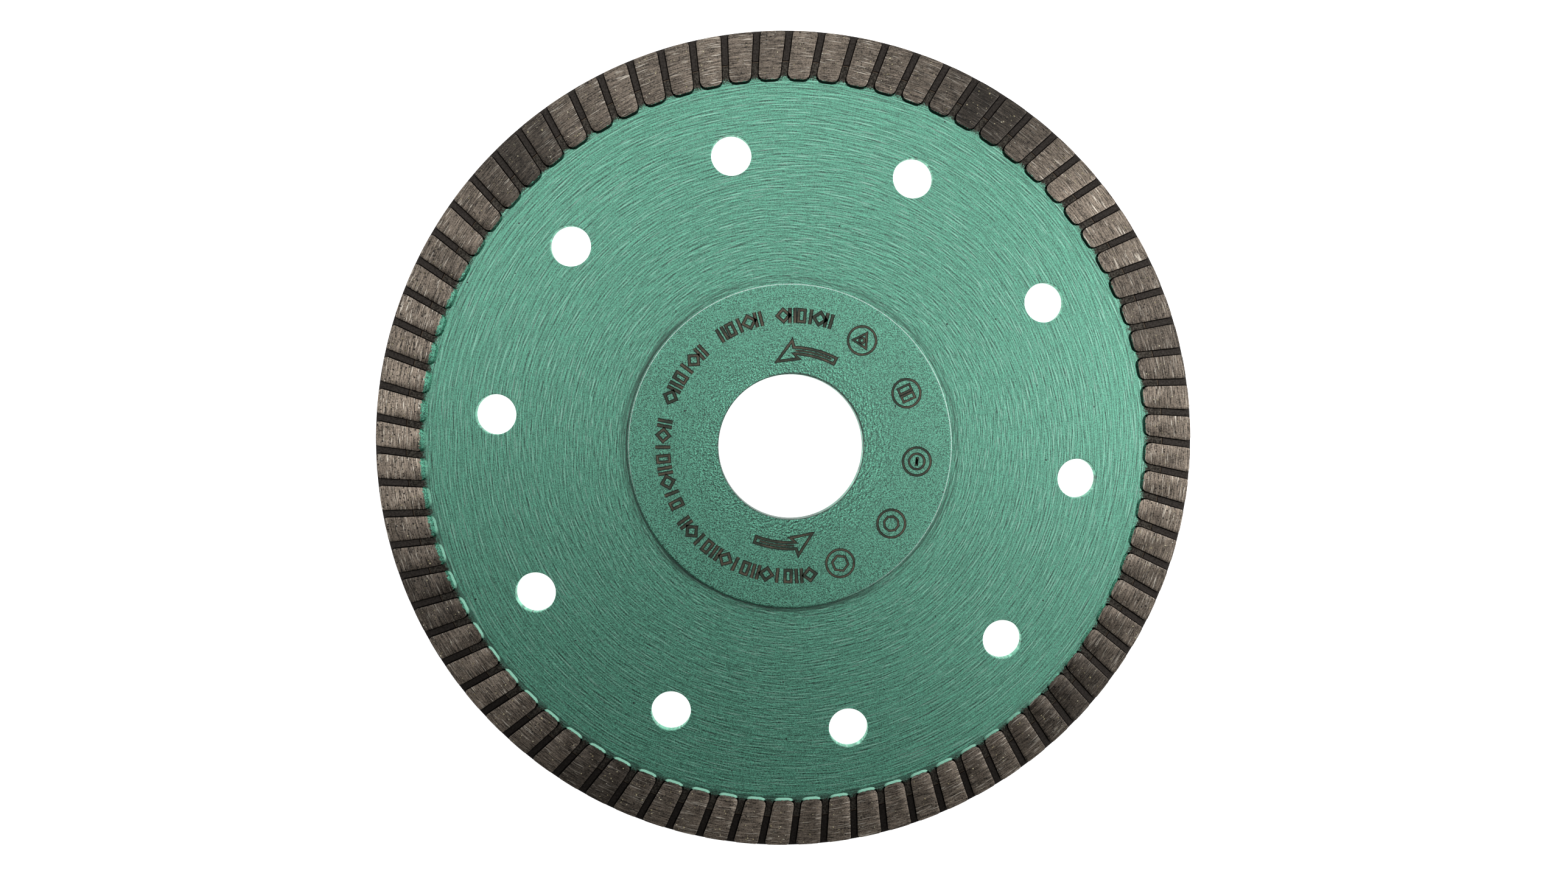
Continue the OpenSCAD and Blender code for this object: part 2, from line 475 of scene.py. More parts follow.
def scale_marks():
    """Plain bars, boxes and lozenges in five groups round the hub, in place of any lettering.

    Each group runs clockwise from a first to a last angle, with a count of shapes at a radius of its
    own. The shapes alternate by a fixed rule.
    """
    box_wide, lozenge_r, bar_off, inset = 0.95, 0.95, 0.4, 2.5
    groups = ((281, 213, 14, 19.9), (209, 167, 8, 19.5), (160, 131, 6, 19.8), (124, 102, 5, 20.0),
              (96, 71, 6, 20.0))
    strips = []
    for first, last, count, ring_r in groups:
        for k, degrees in enumerate(np.linspace(first - inset, last + inset, count)):
            kind = (k * 3 + count) % 4
            if kind == 0:
                box = box_path(box_wide, MARK_TALL - MARK_STROKE)
                strips.append(ribbon(placed(box, ring_r, degrees), MARK_STROKE))
            elif kind == 2:
                lozenge = polygon_path(4, lozenge_r)
                strips.append(ribbon(placed(lozenge, ring_r, degrees), MARK_STROKE))
            else:
                for x in (-bar_off, bar_off) if kind == 1 else (0.0,):
                    line = [(x, -MARK_TALL / 2), (x, 0), (x, MARK_TALL / 2)]
                    strips.append(ribbon(placed(line, ring_r, degrees), BAR_STROKE, False))
    return strips


def ring_marks():
    """Five ringed plain figures on the hub, in order of angle.

    They are a hexagon, an octagon, a ring with a bar, two boxes, and a triangle round a dot.
    """
    outer_ring, ring_r = 2.15, 19.5
    figures = (
        (293.0, [polygon_path(6, 1.25)]),
        (322.6, [polygon_path(8, 1.15, 22.5)]),
        (353.4, [ring_path(1.2, 24), box_path(1.0, 0.1)]),
        (25.0, [box_path(0.9, 1.9, (-0.65, 0)), box_path(0.9, 1.9, (0.65, 0))]),
        (56.4, [polygon_path(3, 1.35), ring_path(0.4, 12)]),
    )
    strips = []
    for degrees, paths in figures:
        for path in [ring_path(outer_ring), *paths]:
            strips.append(ribbon(placed(path, ring_r, degrees), RING_STROKE))
    return strips


def markings_shape():
    """All the etched strips on the front hub plate: the scale, the ringed figures, two arrows.

    The arrows run anticlockwise from a tail to a tip, each with a line along its shaft's middle.
    """
    arrows = []
    for tail, tip, radius in ((63, 99.5, 14.7), (249, 284, 15.2)):
        arrows.append(ribbon(arrow_path(tail, tip, radius), ARROW_STROKE))
        middle = polar(radius, np.linspace(tail + 2.5, tip - 12, 8))
        arrows.append(ribbon(middle, SHAFT_STROKE, False))
    strips = scale_marks() + ring_marks() + arrows
    points, faces = joined([(p, f) for p, f, _ in strips])
    return points, faces, np.concatenate([s for _, _, s in strips])


# ---------------------------------------------------------------- node trees

FLOAT, VECTOR, COLOUR = "NodeSocketFloat", "NodeSocketVector", "NodeSocketColor"


class Wiring:
    """A node tree being wired: each method adds a node and returns its output socket."""

    def __init__(self, tree):
        self.tree = tree

    def add(self, kind, inputs=(), **settings):
        """A node of one kind, with settings, and inputs given by name or number."""
        node = self.tree.nodes.new(kind)
        for key, value in settings.items():
            setattr(node, key, value)
        for key, value in dict(inputs).items():
            self.feed(node.inputs[key], value)
        return node

    def feed(self, socket, value):
        """Links a socket to another, or sets its value."""
        if isinstance(value, bpy.types.NodeSocket):
            self.tree.links.new(value, socket)
        else:
            socket.default_value = value

    def math(self, operation, *values):
        """One sum on values."""
        return self.add("ShaderNodeMath", dict(enumerate(values)), operation=operation).outputs[0]

    def vector(self, operation, *values):
        """One sum on vectors."""
        inputs = dict(enumerate(values))
        return self.add("ShaderNodeVectorMath", inputs, operation=operation).outputs[0]

    def noise(self, vector, scale, detail=2.0, roughness=0.55):
        """Soft noise about 0.5. On Object coordinates its scale is in lumps for each metre."""
        inputs = {"Vector": vector, "Scale": scale, "Detail": detail, "Roughness": roughness}
        return self.add("ShaderNodeTexNoise", inputs).outputs[0]

    def step(self, value, low, high, to_low=0.0, to_high=1.0):
        """A smooth step of a value from to_low at low to to_high at high."""
        inputs = {"Value": value, "From Min": low, "From Max": high,
                  "To Min": to_low, "To Max": to_high}
        kind = "SMOOTHSTEP"
        return self.add("ShaderNodeMapRange", inputs, interpolation_type=kind).outputs[0]

    def both(self, a, b):
        """The product of two masks or values."""
        return self.math("MULTIPLY", a, b)

    def swing(self, value, amount, base=1.0):
        """How far a value is from 0.5, times an amount, added to a base."""
        return self.math("MULTIPLY_ADD", self.math("SUBTRACT", value, 0.5), amount, base)

    def mix(self, share, a, b):
        """A mix of two colours."""
        node = self.add("ShaderNodeMix", data_type="RGBA")
        for socket, value in zip((node.inputs[0], node.inputs[6], node.inputs[7]), (share, a, b)):
            self.feed(socket, value)
        return node.outputs[2]

    def shade(self, colour, factor):
        """A colour made lighter or darker by a factor that varies over the surface."""
        plain = colour if isinstance(colour, bpy.types.NodeSocket) else colour[:3]
        return self.vector("MULTIPLY", plain, self.spread(factor))

    def spread(self, value):
        """One value as all three of a vector's."""
        return self.add("ShaderNodeCombineXYZ", {0: value, 1: value, 2: value}).outputs[0]

    def parts(self, vector):
        """A vector's three values."""
        return self.add("ShaderNodeSeparateXYZ", {0: vector}).outputs

    def toward(self, place, degrees, half):
        """1 in an arc of half a width either side of a direction round the blade, 0 far from it."""
        a = radians(degrees)
        sideways = self.math("MULTIPLY", place["Sin"], sin(a))
        ahead = self.math("MULTIPLY_ADD", place["Cos"], cos(a), sideways)
        return self.step(ahead, cos(radians(1.4 * half)), cos(radians(0.6 * half)))

    def group(self, group, **inputs):
        """A placed node group, with its inputs set by name (an underscore stands for a space)."""
        node = self.add("ShaderNodeGroup", node_tree=group)
        for key, value in inputs.items():
            self.feed(node.inputs[key.replace("_", " ")], value)
        return node.outputs


def node_group(name, inputs, outputs):
    """An empty shader node group with named inputs and outputs, and its wiring."""
    tree = bpy.data.node_groups.new(name, "ShaderNodeTree")
    for label, kind, default in inputs:
        socket = tree.interface.new_socket(label, in_out="INPUT", socket_type=kind)
        if default is not None:
            socket.default_value = default
    for label, kind in outputs:
        tree.interface.new_socket(label, in_out="OUTPUT", socket_type=kind)
    w = Wiring(tree)
    return tree, w, w.add("NodeGroupInput").outputs, w.add("NodeGroupOutput").inputs


def make_round_place():
    """Group: where a point lies round a centre, in millimetres: radius, direction and height."""
    tree, w, given, result = node_group(
        "round_place",
        [("Vector", VECTOR, None), ("Centre X", FLOAT, 0.0), ("Centre Y", FLOAT, 0.0)],
        [("Radius", FLOAT), ("Cos", FLOAT), ("Sin", FLOAT), ("Height", FLOAT)],
    )
    least = 0.0001
    x, y, z = w.parts(w.vector("MULTIPLY", given["Vector"], (1 / MM,) * 3))
    x = w.math("SUBTRACT", x, given["Centre X"])
    y = w.math("SUBTRACT", y, given["Centre Y"])
    squares = w.math("MULTIPLY_ADD", x, x, w.math("MULTIPLY", y, y))
    radius = w.math("SQRT", w.math("MAXIMUM", squares, least))
    w.feed(result["Radius"], radius)
    w.feed(result["Cos"], w.math("DIVIDE", x, radius))
    w.feed(result["Sin"], w.math("DIVIDE", y, radius))
    w.feed(result["Height"], z)
    return tree


def make_ring_lines(round_place):
    """Group: fine lines that run round a centre, from noise on a cylinder.

    Bends is how often a line changes for each radian, and Lines how many lie in a millimetre.
    """
    tree, w, given, result = node_group(
        "ring_lines",
        [("Vector", VECTOR, None), ("Centre X", FLOAT, 0.0), ("Centre Y", FLOAT, 0.0),
         ("Bends", FLOAT, 6.0), ("Lines", FLOAT, 5.0), ("Seed", FLOAT, 0.0),
         ("Detail", FLOAT, 2.0)],
        [("Value", FLOAT)],
    )
    place = w.group(round_place, Vector=given["Vector"], Centre_X=given["Centre X"],
                    Centre_Y=given["Centre Y"])
    along_x = w.math("MULTIPLY", place["Cos"], given["Bends"])
    along_y = w.math("MULTIPLY", place["Sin"], given["Bends"])
    across = w.math("MULTIPLY_ADD", place["Radius"], given["Lines"], given["Seed"])
    spot = w.add("ShaderNodeCombineXYZ", {0: along_x, 1: along_y, 2: across}).outputs[0]
    w.feed(result["Value"], w.noise(spot, 1.0, given["Detail"], 0.6))
    return tree


def make_fine_lines(ring_lines):
    """Group: ring lines less the same lines moved inwards by half a line, so patches cancel."""
    tree, w, given, result = node_group(
        "fine_lines",
        [("Vector", VECTOR, None), ("Centre X", FLOAT, 0.0), ("Centre Y", FLOAT, 0.0),
         ("Bends", FLOAT, 12.0), ("Lines", FLOAT, 4.0), ("Seed", FLOAT, 0.0)],
        [("Value", FLOAT)],
    )
    half_a_line = 0.5
    shared = {"Vector": given["Vector"], "Centre_X": given["Centre X"],
              "Centre_Y": given["Centre Y"], "Bends": given["Bends"], "Lines": given["Lines"],
              "Detail": 0.0}
    further = w.math("ADD", given["Seed"], half_a_line)
    here = w.group(ring_lines, Seed=given["Seed"], **shared)["Value"]
    beyond = w.group(ring_lines, Seed=further, **shared)["Value"]
    w.feed(result["Value"], w.math("ADD", w.math("SUBTRACT", here, beyond), 0.5))
    return tree


def make_specks():
    """Group: scattered round specks of random sizes. Size is the largest radius, in spacings."""
    tree, w, given, result = node_group(
        "specks",
        [("Vector", VECTOR, None), ("Spacing", FLOAT, 1.0), ("Size", FLOAT, 0.2)],
        [("Mask", FLOAT)],
    )
    least = 0.001
    spot = w.vector("DIVIDE", given["Vector"], w.spread(w.math("MULTIPLY", given["Spacing"], MM)))
    cells = w.add("ShaderNodeTexVoronoi", {"Vector": spot, "Scale": 1.0}, voronoi_dimensions="2D")
    chance = w.add("ShaderNodeSeparateColor", {0: cells.outputs["Color"]}).outputs[0]
    size = w.math("MULTIPLY", given["Size"], w.math("POWER", chance, 2.0))
    ratio = w.math("DIVIDE", cells.outputs["Distance"], w.math("MAXIMUM", size, least))
    w.feed(result["Mask"], w.step(ratio, 1.0, 0.7))
    return tree


# ---------------------------------------------------------------- finishes

def rgb(red, green, blue):
    """An sRGB colour of 0 to 255 as the linear colour that shaders take."""
    s = np.array([red, green, blue]) / 255
    linear = np.where(s <= 0.04045, s / 12.92, ((s + 0.055) / 1.055) ** 2.4)
    return (*linear.tolist(), 1.0)


PAINT = rgb(94, 167, 141)
PAINT_GLINT = rgb(190, 232, 216)
PAINT_SCORE = rgb(36, 78, 62)
PAINT_SPECK = rgb(14, 26, 22)
HUB_GROOVE = rgb(38, 76, 62)
HUB_SHADOW = rgb(20, 44, 36)
HUB_EDGE_HIGHLIGHT = rgb(222, 246, 238)
BORE_EDGE_DARK = rgb(24, 40, 34)
TIDE_LINE = rgb(30, 66, 52)
CREVICE_SHADE = rgb(26, 58, 46)
SLOPE_LIT = rgb(180, 234, 214)
SLOPE_SHADED = rgb(28, 50, 42)
STEEL_DARK, STEEL_PALE = rgb(49, 46, 42), rgb(92, 87, 80)
CORE_EDGE_HIGHLIGHT = rgb(96, 84, 72)
RIB_GROUND = rgb(124, 113, 101)
RIB_STREAK = rgb(222, 214, 200)
RIB_CUT = rgb(40, 35, 31)
RIB_PIT = rgb(26, 23, 21)
RIB_WALL_SHADE = rgb(10, 9, 8)
WEB_BLACK = rgb(74, 69, 65)
SEAM_SHADOW = rgb(9, 8, 8)
DIAMOND_DULL, DIAMOND_CLEAR = rgb(120, 112, 84), rgb(196, 184, 140)
ETCH_DARK, ETCH_TAN, ETCH_EDGE = rgb(50, 60, 46), rgb(92, 84, 68), rgb(20, 28, 21)
WELD_BRIGHT, WELD_HEAT = rgb(150, 150, 154), rgb(104, 98, 92)
TABLE_LOW, TABLE_HIGH = (0.94, 0.94, 0.94, 1), (0.96, 0.96, 0.96, 1)

PAINT_METAL = 0.68
PAINT_IOR = 2.4
PAINT_RELIEF = 0.022
RIM_RELIEF = 0.02
BARED_METAL = 0.6
DIAMOND_IOR = 2.4


def make_paint(fine_lines, specks):
    """Group: satin metallic green paint over ground steel: colour and height of its surface.

    Three sets of near-concentric lines about slightly different centres give the ground look, a
    fourth adds bright scratches, and a fine grain gives the flakes. Scratch, Grain and Peel set how
    strong the lines, the flakes and the orange peel are.
    """
    tree, w, given, result = node_group(
        "green_paint",
        [("Vector", VECTOR, None), ("Scratch", FLOAT, 1.0), ("Grain", FLOAT, 1.0),
         ("Peel", FLOAT, 0.0)],
        [("Color", COLOUR), ("Height", FLOAT), ("Roughness", FLOAT)],
    )
    v, scratch = given["Vector"], given["Scratch"]
    line_swing, flake_swing, mottle_swing, darkest = 2.7, 3.4, 0.12, 0.2
    faint, full, strength = 0.68, 0.84, 0.45

    main = w.group(fine_lines, Vector=v, Bends=14.0, Lines=4.4)["Value"]
    leaning = w.group(fine_lines, Vector=v, Centre_X=3.5, Centre_Y=-2.5, Bends=13.0, Lines=4.1,
                      Seed=40.0)["Value"]
    crossing = w.group(fine_lines, Vector=v, Centre_X=-4.0, Centre_Y=3.5, Bends=13.0, Lines=4.3,
                       Seed=90.0)["Value"]
    scratches = w.group(fine_lines, Vector=v, Centre_X=1.5, Centre_Y=2.0, Bends=15.0, Lines=4.7,
                        Seed=150.0)["Value"]
    where = w.step(w.noise(v, 55.0, 1.0), 0.4, 0.6)
    lean = w.math("MULTIPLY_ADD", where, w.math("SUBTRACT", crossing, leaning), leaning)
    lines = w.math("ADD", w.math("MULTIPLY", main, 0.5), w.math("MULTIPLY", lean, 0.5))
    grain = w.noise(v, 6200.0, 0.0, 0.5)
    mottle = w.noise(v, 260.0, 3.0)
    peel = w.noise(v, 2300.0, 1.0)
    bright = w.math("MAXIMUM", w.step(main, faint, full), w.step(scratches, faint, full))
    dark = w.step(lean, faint, full)
    mark = w.math("MULTIPLY", scratch, strength)

    tone = w.swing(lines, w.math("MULTIPLY", scratch, line_swing))
    tone = w.swing(grain, w.math("MULTIPLY", given["Grain"], flake_swing), tone)
    tone = w.swing(mottle, mottle_swing, tone)
    colour = w.shade(PAINT, w.math("MAXIMUM", tone, darkest))
    colour = w.mix(w.both(bright, mark), colour, PAINT_GLINT)
    colour = w.mix(w.both(dark, mark), colour, PAINT_SCORE)
    dots = w.group(specks, Vector=v, Spacing=8.0, Size=0.022)["Mask"]
    w.feed(result["Color"], w.mix(dots, colour, PAINT_SPECK))

    height = w.math("MULTIPLY_ADD", grain, 0.3, w.math("MULTIPLY", lines, scratch))
    w.feed(result["Height"], w.math("MULTIPLY_ADD", peel, given["Peel"], height))
    w.feed(result["Roughness"], w.step(grain, 0.2, 0.8, 0.38, 0.52))
    return tree


def new_material(name):
    """A material with an empty tree but for its Principled shader.

    Returns the material, its wiring, the shader's inputs and the Object coordinates.
    """
    material = bpy.data.materials.new(name)
    material.use_nodes = True
    shader = material.node_tree.nodes["Principled BSDF"]
    w = Wiring(material.node_tree)
    return material, w, shader.inputs, w.add("ShaderNodeTexCoord").outputs["Object"]


def bump(w, height, depth):
    """A normal bent by a height, whose full range is depth millimetres."""
    inputs = {"Height": height, "Strength": 1.0, "Distance": depth * MM}
    return w.add("ShaderNodeBump", inputs).outputs[0]


def ring_grain(w, sockets, amount):
    """Stretches the shader's gloss as lines ground round the bore do."""
    quarter_turn = 0.25
    sockets["Anisotropic"].default_value = amount
    sockets["Anisotropic Rotation"].default_value = quarter_turn
    tangent = w.add("ShaderNodeTangent", direction_type="RADIAL", axis="Z").outputs[0]
    w.feed(sockets["Tangent"], tangent)


def painted_core(groups):
    """The core: ground and painted, bare and dark where the grooves uncover it, with painted shade and
    a painted edge highlight.
    """
    material, w, sockets, v = new_material("painted_core")
    place = w.group(groups["round_place"], Vector=v)
    radius = place["Radius"]
    paint = w.group(groups["green_paint"], Vector=v, Scratch=1.0, Grain=0.45, Peel=0.0)

    ridges = w.group(groups["ring_lines"], Vector=v, Bends=2.5, Lines=3.0, Seed=7.0)["Value"]
    beside_hub = w.both(w.step(radius, HUB_R + 0.1, HUB_R + 0.3),
                        w.step(radius, HUB_R + 1.9, HUB_R + 0.4))
    groove = w.both(beside_hub, w.step(ridges, 0.45, 0.60, 0.15, 0.75))
    colour = w.mix(groove, paint["Color"], HUB_GROOVE)
    # Painted shadow: darker green just outside the hub plate's rim, towards the lower left, where the
    # plate's shadow falls.
    foot = w.both(w.step(radius, HUB_R + 0.5, HUB_R + 0.25), w.toward(place, 215, 85))
    colour = w.mix(w.both(foot, 0.85), colour, HUB_SHADOW)

    wave = w.math("MULTIPLY_ADD", w.noise(v, 420.0), 0.9, radius)
    tide = w.both(w.step(wave, FOOT_R - 0.42, FOOT_R - 0.33),
                  w.step(wave, FOOT_R - 0.22, FOOT_R - 0.31))
    colour = w.mix(w.both(tide, 0.45), colour, TIDE_LINE)
    # Painted shade: darker green just outside the ribs' inner ends, towards the lower left.
    crevice_shade = w.both(w.step(wave, FOOT_R + 0.1, FOOT_R + 0.3), w.toward(place, 250, 62))
    colour = w.mix(w.both(crevice_shade, 0.6), colour, CREVICE_SHADE)

    lumps = w.math("MULTIPLY", w.noise(v, 900.0), 1.2)
    fuzz = w.math("MULTIPLY_ADD", w.noise(v, 5200.0, 1.0), 1.6, lumps)
    bare = w.step(w.math("ADD", radius, fuzz), FOOT_R + 1.55, FOOT_R + 2.25)
    rust = w.noise(v, 4000.0, 2.0)
    steel = w.mix(w.step(rust, 0.35, 0.7), STEEL_DARK, STEEL_PALE)
    # Painted highlight: a lighter line along the core's outer edge.
    steel = w.mix(w.step(radius, CORE_R - 0.14, CORE_R - 0.09), steel, CORE_EDGE_HIGHLIGHT)
    # Painted shade: the bare steel darker towards the lower left.
    steel = w.shade(steel, w.math("MULTIPLY_ADD", w.toward(place, 260, 55), -0.25, 1.0))
    w.feed(sockets["Base Color"], w.mix(bare, colour, steel))
    w.feed(sockets["Metallic"], w.step(bare, 0.0, 1.0, PAINT_METAL, 1.0))
    sockets["IOR"].default_value = PAINT_IOR
    w.feed(sockets["Roughness"], w.math("MULTIPLY_ADD", bare, 0.15, paint["Roughness"]))
    w.feed(sockets["Normal"], bump(w, paint["Height"], PAINT_RELIEF))
    ring_grain(w, sockets, 0.35)
    return material


def painted_hub(groups):
    """A hub plate: the same paint with a fine orange peel, short wrinkles near the bore and a painted
    highlight on its rim.
    """
    material, w, sockets, v = new_material("painted_hub")
    place = w.group(groups["round_place"], Vector=v)
    radius = place["Radius"]
    near_bore = w.step(radius, BORE_R + 7.5, BORE_R)
    wrinkles = w.group(groups["fine_lines"], Vector=v, Centre_X=-7.0, Centre_Y=5.0, Bends=36.0,
                       Lines=3.4, Seed=3.0)["Value"]
    skin = w.math("MULTIPLY_ADD", near_bore, 0.1, 0.85)
    paint = w.group(groups["green_paint"], Vector=v, Scratch=0.2, Grain=skin, Peel=0.9)
    folds = w.math("MULTIPLY", w.math("SUBTRACT", wrinkles, 0.5), near_bore)
    colour = w.shade(paint["Color"], w.math("MULTIPLY_ADD", folds, 1.9, 0.96))

    ticks = w.group(groups["ring_lines"], Vector=v, Bends=140.0, Lines=0.4, Seed=11.0)["Value"]
    # Painted highlight along the plate's rounded rim, broken by fine radial ticks of rubbed paint and
    # faded out towards the lower left.
    bevel_in = HUB_R - HUB_BEVEL
    worn_and_highlight = w.both(w.step(radius, bevel_in - 0.08, bevel_in),
                  w.step(radius, HUB_R + 0.01, HUB_R - 0.03))
    worn_and_highlight = w.both(worn_and_highlight, w.step(ticks, 0.3, 0.6, 0.4, 1.0))
    worn_and_highlight = w.both(worn_and_highlight, w.math("MULTIPLY_ADD", w.toward(place, 245, 50), -0.9, 0.9))
    colour = w.mix(worn_and_highlight, colour, HUB_EDGE_HIGHLIGHT)
    # A darker line round the bore's edge, widest towards the upper right.
    dark_edge_r = w.math("MULTIPLY_ADD", w.toward(place, 55, 42), 0.16, BORE_R + 0.09)
    dark_edge_r = w.math("MULTIPLY_ADD", w.step(ticks, 0.4, 0.6), 0.05, dark_edge_r)
    dark_bore_edge = w.step(w.math("SUBTRACT", radius, dark_edge_r), 0.03, -0.03)
    w.feed(sockets["Base Color"], w.mix(w.both(dark_bore_edge, 0.8), colour, BORE_EDGE_DARK))
    sockets["Metallic"].default_value = PAINT_METAL
    sockets["IOR"].default_value = PAINT_IOR
    w.feed(sockets["Roughness"], paint["Roughness"])
    height = w.math("MULTIPLY_ADD", folds, 1.8, paint["Height"])
    w.feed(sockets["Normal"], bump(w, height, PAINT_RELIEF))
    return material


def ground_ribs(w, v, groups, place):
    """Colour and height of a rib's ground top: scratched round the blade, streaked and pitted."""
    # The rib tone carries the painted sheen round the rim, times each rib's random share; it scales the
    # ground top and its streaks.
    tone = w.add("ShaderNodeAttribute", attribute_name="rib_tone").outputs["Fac"]
    line_swing, grain_swing, darkest, dimmed = 4.2, 3.0, 0.15, 0.84
    lines = w.group(groups["ring_lines"], Vector=v, Centre_X=2.0, Centre_Y=1.5, Bends=24.0,
                    Lines=8.0)["Value"]
    streaks = w.group(groups["ring_lines"], Vector=v, Centre_X=-2.0, Bends=22.0, Lines=6.5,
                      Seed=60.0)["Value"]
    cuts = w.group(groups["ring_lines"], Vector=v, Bends=30.0, Lines=7.0, Seed=130.0)["Value"]
    grain = w.noise(v, 5200.0, 2.0, 0.65)
    shade = w.swing(grain, grain_swing, w.swing(lines, line_swing))
    shade = w.both(w.math("MAXIMUM", shade, darkest), w.math("MULTIPLY", tone, dimmed))
    ground = w.shade(RIB_GROUND, shade)
    ground = w.mix(w.step(streaks, 0.60, 0.70, 0.0, 0.85), ground, w.shade(RIB_STREAK, tone))
    ground = w.mix(w.step(cuts, 0.60, 0.70, 0.0, 0.8), ground, RIB_CUT)
    pits = w.group(groups["specks"], Vector=v, Spacing=0.62, Size=0.3)["Mask"]
    patches = w.step(w.noise(v, 150.0, 1.0), 0.46, 0.62, 0.0, 0.9)
    pits = w.both(pits, w.math("MAXIMUM", patches, w.toward(place, 180, 28)))
    height = w.math("SUBTRACT", w.math("ADD", lines, w.math("MULTIPLY", grain, 0.5)), pits)
    return w.mix(w.both(pits, 0.9), ground, RIB_PIT), height


def sintered_rim(groups):
    """The rim: rib tops ground bare, sides and web left black with painted shade, ribs' feet caught by
    the paint.
    """
    material, w, sockets, v = new_material("sintered_rim")
    place = w.group(groups["round_place"], Vector=v)
    radius, level = place["Radius"], w.math("ABSOLUTE", place["Height"])
    ground, height = ground_ribs(w, v, groups, place)

    soot = w.step(w.noise(v, 3500.0, 2.0), 0.2, 0.8, 0.6, 1.5)
    # The rim's own black, with painted shade that darkens it towards the lower left.
    black = w.shade(w.shade(WEB_BLACK, soot),
                    w.math("MULTIPLY_ADD", w.toward(place, 255, 50), -0.65, 1.0))
    # Painted shadow: a near black line where the web steps down from the core.
    black = w.mix(w.step(radius, CORE_R + 0.15, CORE_R + 0.08), black, SEAM_SHADOW)
    on_top = w.step(level, RIB_Z - 0.035, RIB_Z - 0.012)
    on_side = w.step(radius, BLADE_R - 0.03, BLADE_R - 0.008)
    bared = w.math("MAXIMUM", on_top, w.math("MULTIPLY", on_side, 0.8))
    # The ribs' side walls: the rim's own black, deepened to near black by painted shade in the narrow
    # grooves.
    wall = w.both(w.step(level, WEB_Z + 0.02, WEB_Z + 0.05), w.step(bared, 0.9, 0.2))
    colour = w.mix(bared, black, ground)
    colour = w.mix(w.both(wall, w.step(on_side, 0.5, 0.0)), colour, RIB_WALL_SHADE)

    paint = w.group(groups["green_paint"], Vector=v, Scratch=0.3, Grain=0.8, Peel=0.4)
    spray = w.math("MULTIPLY_ADD", w.toward(place, 178, 24), -0.7, radius)
    ragged = w.math("MULTIPLY_ADD", w.noise(v, 3200.0, 2.0), 0.9, spray)
    overspray = w.step(ragged, FOOT_R + 0.78, FOOT_R + 0.62)
    # Paint on the ribs' inner slopes, with a painted highlight round the lower left of the rim and
    # painted shade round the upper right.
    on_slope = w.both(w.step(level, RIB_Z - 0.035, RIB_Z - 0.05),
                      w.step(radius, FOOT_R + 0.5, FOOT_R + 0.35))
    green = w.mix(w.both(on_slope, w.toward(place, 250, 62)), paint["Color"], SLOPE_LIT)
    green = w.mix(w.both(on_slope, w.toward(place, 70, 75)), green, SLOPE_SHADED)
    w.feed(sockets["Base Color"], w.mix(w.math("MAXIMUM", on_slope, overspray), colour, green))
    w.feed(sockets["Metallic"], w.step(bared, 0.0, 0.7, 1.0, BARED_METAL))
    w.feed(sockets["Roughness"], w.step(bared, 0.0, 1.0, 0.7, 0.42))
    w.feed(sockets["Normal"], bump(w, height, RIM_RELIEF))
    ring_grain(w, sockets, 0.6)
    return material


def diamond():
    """Synthetic crystals, yellow-grey and glossy, each a little different."""
    material, w, sockets, v = new_material("diamond")
    patch = w.noise(v, 1500.0, 1.0)
    colour = w.mix(w.step(patch, 0.35, 0.65), DIAMOND_DULL, DIAMOND_CLEAR)
    w.feed(sockets["Base Color"], colour)
    w.feed(sockets["Roughness"], w.step(patch, 0.3, 0.7, 0.12, 0.3))
    sockets["IOR"].default_value = DIAMOND_IOR
    return material


def etched_marks():
    """Burnt strokes: near black along both edges, tan and speckled between."""
    material, w, sockets, v = new_material("etched_marks")
    stroke = w.add("ShaderNodeAttribute", attribute_name="stroke").outputs["Vector"]
    across = w.math("ABSOLUTE", w.math("SUBTRACT", w.parts(stroke)[0], 0.5))
    ragged = w.swing(w.noise(v, 6000.0, 2.0), 0.35, across)
    patch = w.step(w.noise(v, 320.0, 2.0), 0.4, 0.62)
    core = w.mix(patch, ETCH_DARK, ETCH_TAN)
    core = w.shade(core, w.step(w.noise(v, 5000.0, 2.0), 0.25, 0.75, 0.65, 1.35))
    w.feed(sockets["Base Color"], w.mix(w.step(ragged, 0.16, 0.34), core, ETCH_EDGE))
    sockets["Metallic"].default_value = 0.15
    w.feed(sockets["Roughness"], w.step(across, 0.1, 0.4, 0.55, 0.75))
    w.feed(sockets["Normal"], bump(w, w.math("ADD", ragged, w.noise(v, 4000.0)), 0.02))
    return material


def weld_steel():
    """Bare steel, fused and faintly mottled with heat."""
    material, w, sockets, v = new_material("weld_steel")
    heat = w.noise(v, 1200.0, 3.0)
    w.feed(sockets["Base Color"], w.mix(heat, WELD_BRIGHT, WELD_HEAT))
    sockets["Metallic"].default_value = 1.0
    w.feed(sockets["Roughness"], w.step(heat, 0.3, 0.7, 0.35, 0.55))
    return material


def white_table():
    """The table: white and evenly lit, so that it shows no shadow edge."""
    material, w, sockets, v = new_material("white_table")
    tint = w.mix(w.noise(v, 3.0, 1.0), TABLE_LOW, TABLE_HIGH)
    w.feed(sockets["Base Color"], tint)
    w.feed(sockets["Emission Color"], tint)
    sockets["Emission Strength"].default_value = 1.0
    sockets["Roughness"].default_value = 0.9
    return material


# ---------------------------------------------------------------- the object

def shared_groups():
    """The node groups that the finishes share."""
    round_place = make_round_place()
    ring_lines = make_ring_lines(round_place)
    fine_lines = make_fine_lines(ring_lines)
    specks = make_specks()
    return {
        "round_place": round_place,
        "ring_lines": ring_lines,
        "fine_lines": fine_lines,
        "specks": specks,
        "green_paint": make_paint(fine_lines, specks),
    }


def own(made, node):
    """Fastens a finished piece to the blade's one body, for the node it replaces."""
    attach(made, "root")
    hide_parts(node)


